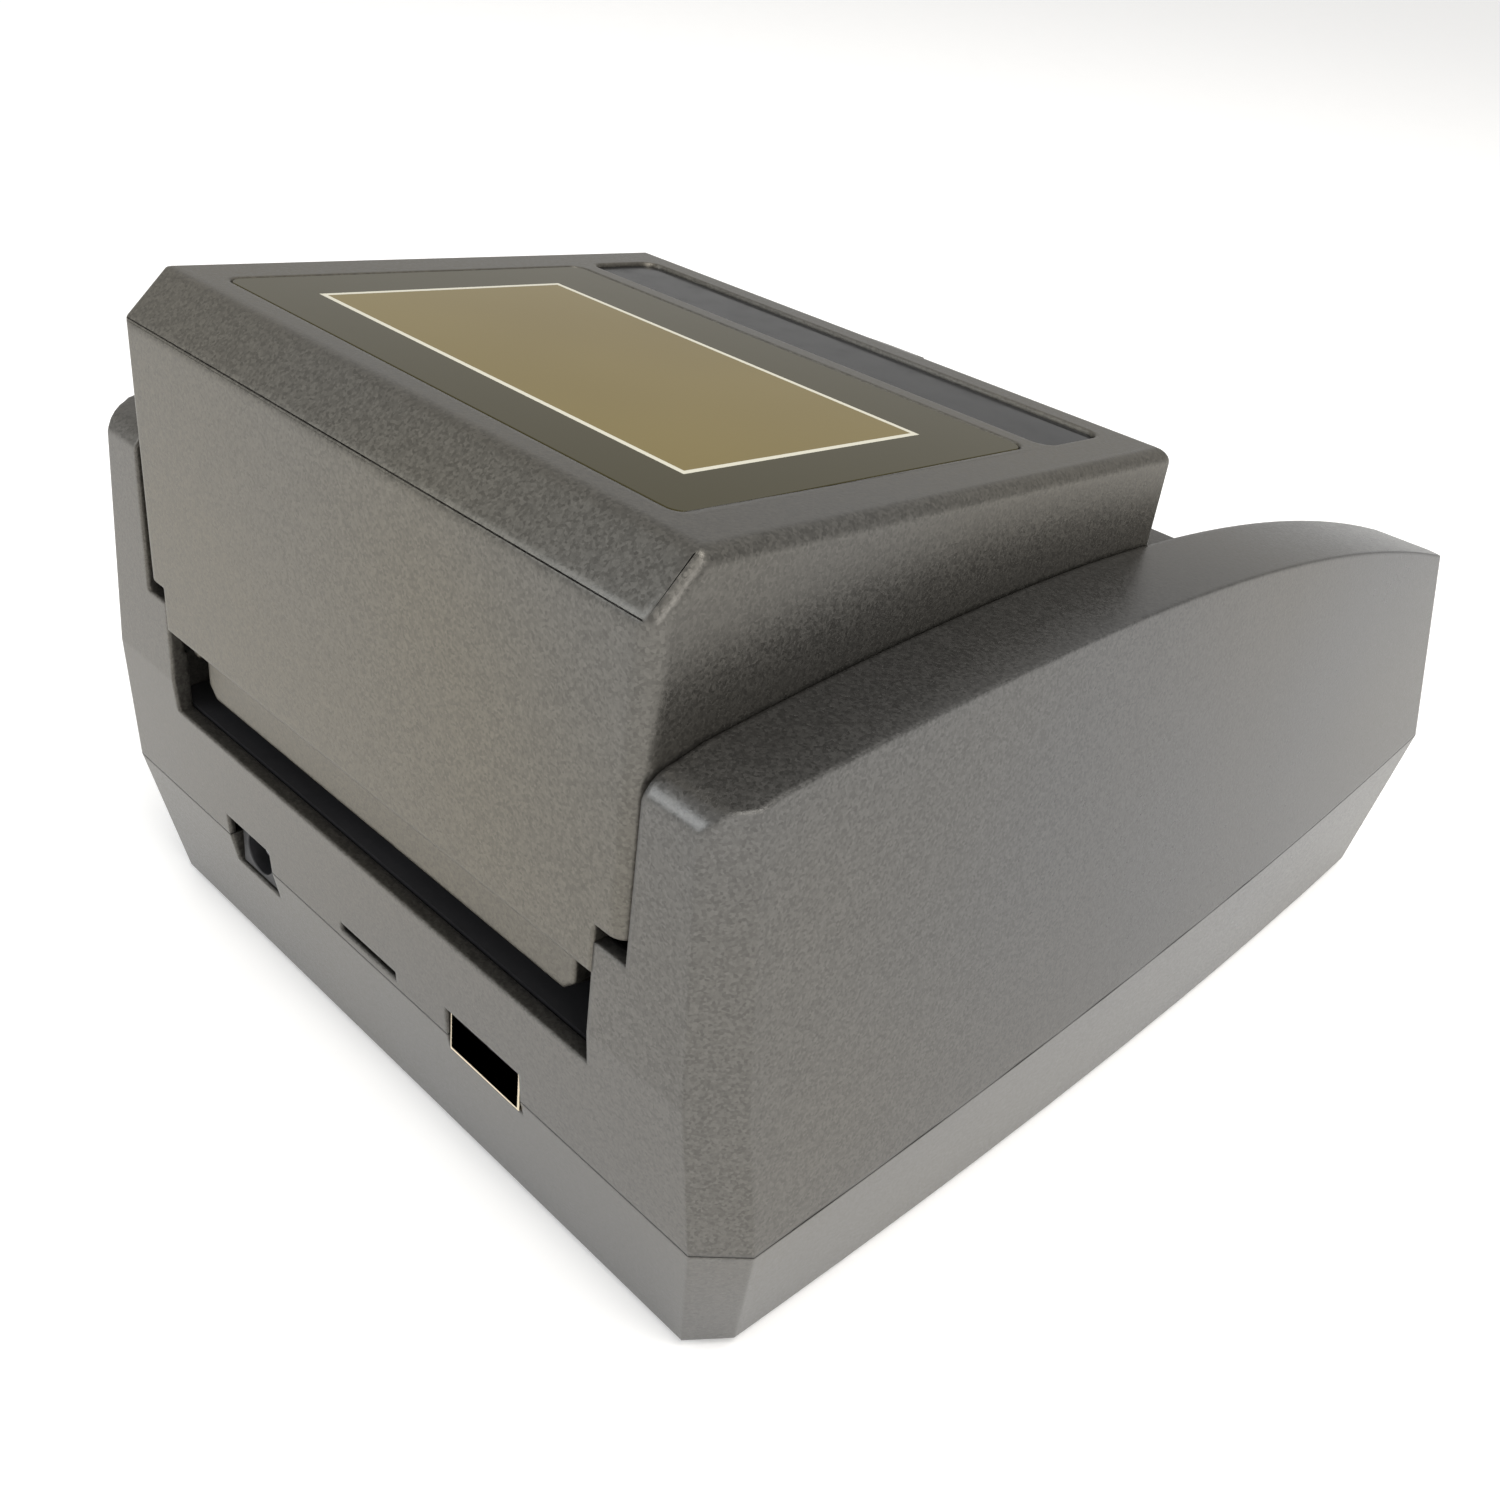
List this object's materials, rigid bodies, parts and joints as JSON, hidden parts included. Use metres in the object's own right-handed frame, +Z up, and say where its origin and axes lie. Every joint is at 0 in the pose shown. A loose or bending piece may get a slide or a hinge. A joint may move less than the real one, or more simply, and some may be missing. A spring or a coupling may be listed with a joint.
{
  "type": "counterfeit bill detector",
  "caption": "Compact counter-top counterfeit bill detector: bowed two-part casing with arched cheeks and a hinged display hood over a motor-driven bill path.",
  "frame": {"origin": "centre of the bounding box, at the underside of the feet", "axes": "+X to the user's right, -Y toward the user, +Y toward the rear with the sockets and the exit slot, +Z up"},
  "size_m": [0.13, 0.168, 0.0945],
  "materials": {
    "casing_paint": "satin metallic grey paint with a fine sparkle on moulded plastic",
    "hood_paint": "satin metallic grey paint with a fine sparkle on moulded plastic",
    "foot_rubber": "matt black rubber",
    "roller_rubber": "dark grey ground rubber",
    "belt_rubber": "black toothed belt rubber",
    "black_plastic": "matt black moulded plastic",
    "pale_plastic": "off-white engineering plastic",
    "steel": "bright drawn steel",
    "brass_bush": "sintered bronze",
    "gold_shell": "plated connector shell",
    "circuit_board": "green circuit board lacquer",
    "battery_wrap": "blue shrink wrap",
    "display_gloss": "glossy dark display overlay with a plain white border",
    "display_panel": "olive reflective display",
    "trim_gloss": "dark gloss trim",
    "lens_clear": "clear polished sensor window"
  },
  "bodies": {
    "casing": {"lower_casing": "casing_paint", "upper_casing": "casing_paint", "rubber_feet": "foot_rubber", "casing_screws": "steel", "bill_bed": "black_plastic", "bed_screws": "steel", "shaft_bushes": "brass_bush", "motor": "steel", "motor_bracket": "steel", "drive_belt": "belt_rubber", "lower_sensor_bar": "black_plastic", "lower_lens": "lens_clear", "main_board": "circuit_board", "board_screws": "steel", "io_board": "circuit_board", "io_board_screws": "steel", "usb_port": "gold_shell", "usb_tongue": "black_plastic", "dc_jack": "black_plastic", "dc_jack_pin": "steel", "card_socket": "steel", "battery_pack": "battery_wrap", "buzzer": "black_plastic", "hinge_pins": "steel", "magnet_plates": "steel"},
    "front_drive": {"front_shaft": "steel", "front_drive_rollers": "roller_rubber", "front_pulley": "pale_plastic"},
    "rear_drive": {"rear_shaft": "steel", "rear_drive_rollers": "roller_rubber", "rear_pulley": "pale_plastic"},
    "motor_rotor": {"motor_pulley": "pale_plastic"},
    "hood": {"hood_cover": "hood_paint", "upper_guide_plate": "hood_paint", "guide_screws": "steel", "pinch_shafts": "steel", "pinch_springs": "steel", "upper_sensor_bar": "black_plastic", "upper_lens": "lens_clear", "display_window": "display_gloss", "lcd_module": "display_panel", "display_board": "circuit_board", "trim_plate": "trim_gloss", "key_board": "circuit_board", "hood_magnets": "steel"},
    "front_pinch": {"front_pinch_rollers": "pale_plastic"},
    "rear_pinch": {"rear_pinch_rollers": "pale_plastic"},
    "power_button": {"power_key": "black_plastic"},
    "mode_button": {"mode_key": "black_plastic"},
    "currency_button": {"currency_key": "black_plastic"}
  },
  "joints": [
    {"name": "hood_hinge", "type": "hinge", "parent": "casing", "child": "hood", "pos_m": [0, 0.076, 0.0632], "axis": [-1, 0, 0], "range_deg": [0, 60]},
    {"name": "rear_roller_spin", "type": "hinge", "parent": "casing", "child": "rear_drive", "pos_m": [0, 0.054, 0.03147], "axis": [1, 0, 0], "continuous": true},
    {"name": "front_roller_spin", "type": "hinge", "parent": "casing", "child": "front_drive", "pos_m": [0, 0.02, 0.03344], "axis": [1, 0, 0], "continuous": true},
    {"name": "motor_spin", "type": "hinge", "parent": "casing", "child": "motor_rotor", "pos_m": [0, 0.037, 0.019], "axis": [1, 0, 0], "continuous": true},
    {"name": "front_pinch_spin", "type": "hinge", "parent": "hood", "child": "front_pinch", "pos_m": [0, 0.02, 0.04634], "axis": [1, 0, 0], "continuous": true},
    {"name": "rear_pinch_spin", "type": "hinge", "parent": "hood", "child": "rear_pinch", "pos_m": [0, 0.054, 0.04437], "axis": [1, 0, 0], "continuous": true},
    {"name": "power_key_press", "type": "slide", "parent": "hood", "child": "power_button", "axis": [0, 1, 0], "range_m": [0, 0.0006], "stiffness_N_per_m": 400},
    {"name": "mode_key_press", "type": "slide", "parent": "hood", "child": "mode_button", "axis": [0, 1, 0], "range_m": [0, 0.0006], "stiffness_N_per_m": 400},
    {"name": "currency_key_press", "type": "slide", "parent": "hood", "child": "currency_button", "axis": [0, 1, 0], "range_m": [0, 0.0006], "stiffness_N_per_m": 400}
  ],
  "couplings": [
    {"joint": "front_roller_spin", "follows": "rear_roller_spin", "ratio": 1},
    {"joint": "motor_spin", "follows": "rear_roller_spin", "ratio": 1.3125}
  ]
}
